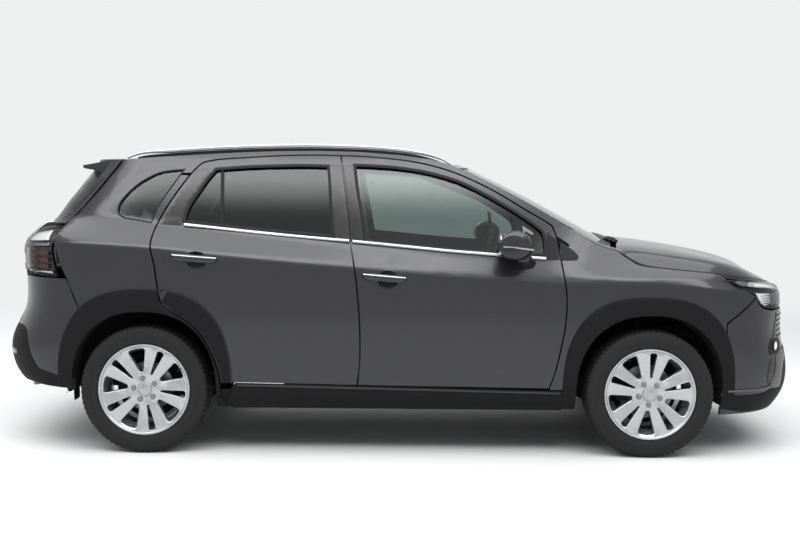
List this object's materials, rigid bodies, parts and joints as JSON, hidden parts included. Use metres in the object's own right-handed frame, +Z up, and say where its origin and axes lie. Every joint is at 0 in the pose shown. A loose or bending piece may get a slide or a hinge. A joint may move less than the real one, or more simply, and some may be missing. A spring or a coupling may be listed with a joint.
{
  "type": "crossover suv",
  "caption": "Five-door crossover car with black wheel-arch and sill cladding, silver roof rails, alloy wheels, opening doors, bonnet and tailgate, and steered front wheels.",
  "frame": {"origin": "on the ground under the centre of the car's outer box", "axes": "+X forward, +Y to the car's left, +Z up"},
  "size_m": [4.2982, 2.02, 1.6039],
  "materials": {
    "body_paint": "dark grey metallic paint",
    "black_plastic": "unpainted grained plastic",
    "clear_glass": "clear, slightly green",
    "dark_glass": "dark tinted",
    "body_steel": "primed and painted steel",
    "chassis_steel": "black painted castings",
    "engine_metal": "cast, plain",
    "exhaust_steel": "dull steel",
    "tank_plastic": "moulded plastic",
    "cabin_plastic": "grained plastic",
    "seat_cloth": "woven cloth",
    "silver_trim": "satin silver",
    "lamp_lens": "clear lens over bright reflectors",
    "tail_lamp_lens": "red and smoked lens",
    "tyre_rubber": "matt rubber",
    "wheel_alloy": "silver painted alloy",
    "disc_iron": "machined iron"
  },
  "bodies": {
    "body": {"sills": "body_steel", "door_pillars": "body_steel", "roof_side_rails": "body_paint", "rear_quarters": "body_paint", "quarter_glass": "dark_glass", "front_wings": "body_paint", "front_arch_trims": "black_plastic", "rear_arch_trims": "black_plastic", "sill_trims": "black_plastic", "front_bumper": "body_paint", "lower_grille": "black_plastic", "headlamps": "lamp_lens", "grille": "black_plastic", "rear_bumper": "body_paint", "tail_lamps": "tail_lamp_lens", "roof_panel": "body_paint", "windscreen": "clear_glass", "scuttle": "black_plastic", "roof_rails": "silver_trim", "floor_pan": "body_steel", "rear_wheelhouses": "body_steel", "front_wheelhouses": "black_plastic", "bulkhead": "body_steel", "front_frame": "body_steel", "front_suspension": "chassis_steel", "engine": "engine_metal", "rear_axle": "chassis_steel", "exhaust": "exhaust_steel", "fuel_tank": "tank_plastic", "dashboard": "cabin_plastic", "front_seats": "seat_cloth", "rear_seat": "seat_cloth"},
    "bonnet": {"bonnet": "body_paint"},
    "tailgate": {"tailgate_panel": "body_paint", "tailgate_glass": "dark_glass"},
    "steering_wheel": {"steering_wheel": "cabin_plastic"},
    "door_front_left": {"door_front_panel_left": "body_paint", "door_front_glass_left": "clear_glass", "mirror_left": "body_paint"},
    "wheel_front_left": {"wheel_front_left_tyre": "tyre_rubber", "wheel_front_left_rim": "wheel_alloy", "wheel_front_left_disc": "disc_iron"},
    "door_rear_left": {"door_rear_panel_left": "body_paint", "door_rear_glass_left": "dark_glass"},
    "wheel_rear_left": {"wheel_rear_left_tyre": "tyre_rubber", "wheel_rear_left_rim": "wheel_alloy", "wheel_rear_left_disc": "disc_iron"},
    "knuckle_left": {"knuckle_left": "chassis_steel"},
    "door_front_right": {"door_front_panel_right": "body_paint", "door_front_glass_right": "clear_glass", "mirror_right": "body_paint"},
    "wheel_front_right": {"wheel_front_right_tyre": "tyre_rubber", "wheel_front_right_rim": "wheel_alloy", "wheel_front_right_disc": "disc_iron"},
    "door_rear_right": {"door_rear_panel_right": "body_paint", "door_rear_glass_right": "dark_glass"},
    "wheel_rear_right": {"wheel_rear_right_tyre": "tyre_rubber", "wheel_rear_right_rim": "wheel_alloy", "wheel_rear_right_disc": "disc_iron"},
    "knuckle_right": {"knuckle_right": "chassis_steel"}
  },
  "joints": [
    {"name": "door_front_left_hinge", "type": "hinge", "parent": "body", "child": "door_front_left", "pos_m": [0.762, 0.859, 0.75], "axis": [0, 0, -1], "range_deg": [0, 65]},
    {"name": "door_rear_left_hinge", "type": "hinge", "parent": "body", "child": "door_rear_left", "pos_m": [-0.29, 0.859, 0.75], "axis": [0, 0, -1], "range_deg": [0, 68]},
    {"name": "door_front_right_hinge", "type": "hinge", "parent": "body", "child": "door_front_right", "pos_m": [0.762, -0.859, 0.75], "axis": [0, 0, 1], "range_deg": [0, 65]},
    {"name": "door_rear_right_hinge", "type": "hinge", "parent": "body", "child": "door_rear_right", "pos_m": [-0.29, -0.859, 0.75], "axis": [0, 0, 1], "range_deg": [0, 68]},
    {"name": "bonnet_hinge", "type": "hinge", "parent": "body", "child": "bonnet", "pos_m": [1.118, 0, 1.088], "axis": [0, -1, 0], "range_deg": [0, 50]},
    {"name": "tailgate_hinge", "type": "hinge", "parent": "body", "child": "tailgate", "pos_m": [-1.497, 0, 1.511], "axis": [0, 1, 0], "range_deg": [0, 72]},
    {"name": "steer_right", "type": "hinge", "parent": "body", "child": "knuckle_right", "pos_m": [1.291, -0.6895, 0.232], "axis": [-0.0638, 0.2151, 0.9745], "range_deg": [-33, 33]},
    {"name": "steer_left", "type": "hinge", "parent": "body", "child": "knuckle_left", "pos_m": [1.291, 0.6895, 0.232], "axis": [-0.0638, -0.2151, 0.9745], "range_deg": [-33, 33]},
    {"name": "wheel_front_left_spin", "type": "hinge", "parent": "knuckle_left", "child": "wheel_front_left", "pos_m": [1.283, 0.7675, 0.33], "axis": [0, 1, 0], "continuous": true},
    {"name": "wheel_rear_left_spin", "type": "hinge", "parent": "body", "child": "wheel_rear_left", "pos_m": [-1.317, 0.7525, 0.33], "axis": [0, 1, 0], "continuous": true},
    {"name": "wheel_front_right_spin", "type": "hinge", "parent": "knuckle_right", "child": "wheel_front_right", "pos_m": [1.283, -0.7675, 0.33], "axis": [0, 1, 0], "continuous": true},
    {"name": "wheel_rear_right_spin", "type": "hinge", "parent": "body", "child": "wheel_rear_right", "pos_m": [-1.317, -0.7525, 0.33], "axis": [0, 1, 0], "continuous": true},
    {"name": "steering_wheel_turn", "type": "hinge", "parent": "body", "child": "steering_wheel", "pos_m": [0.49, 0.365, 0.955], "axis": [-0.9131, 0, 0.4078], "range_deg": [-470, 470]}
  ],
  "couplings": [
    {"joint": "steer_left", "follows": "steer_right", "ratio": 1},
    {"joint": "steering_wheel_turn", "follows": "steer_right", "ratio": 14}
  ]
}
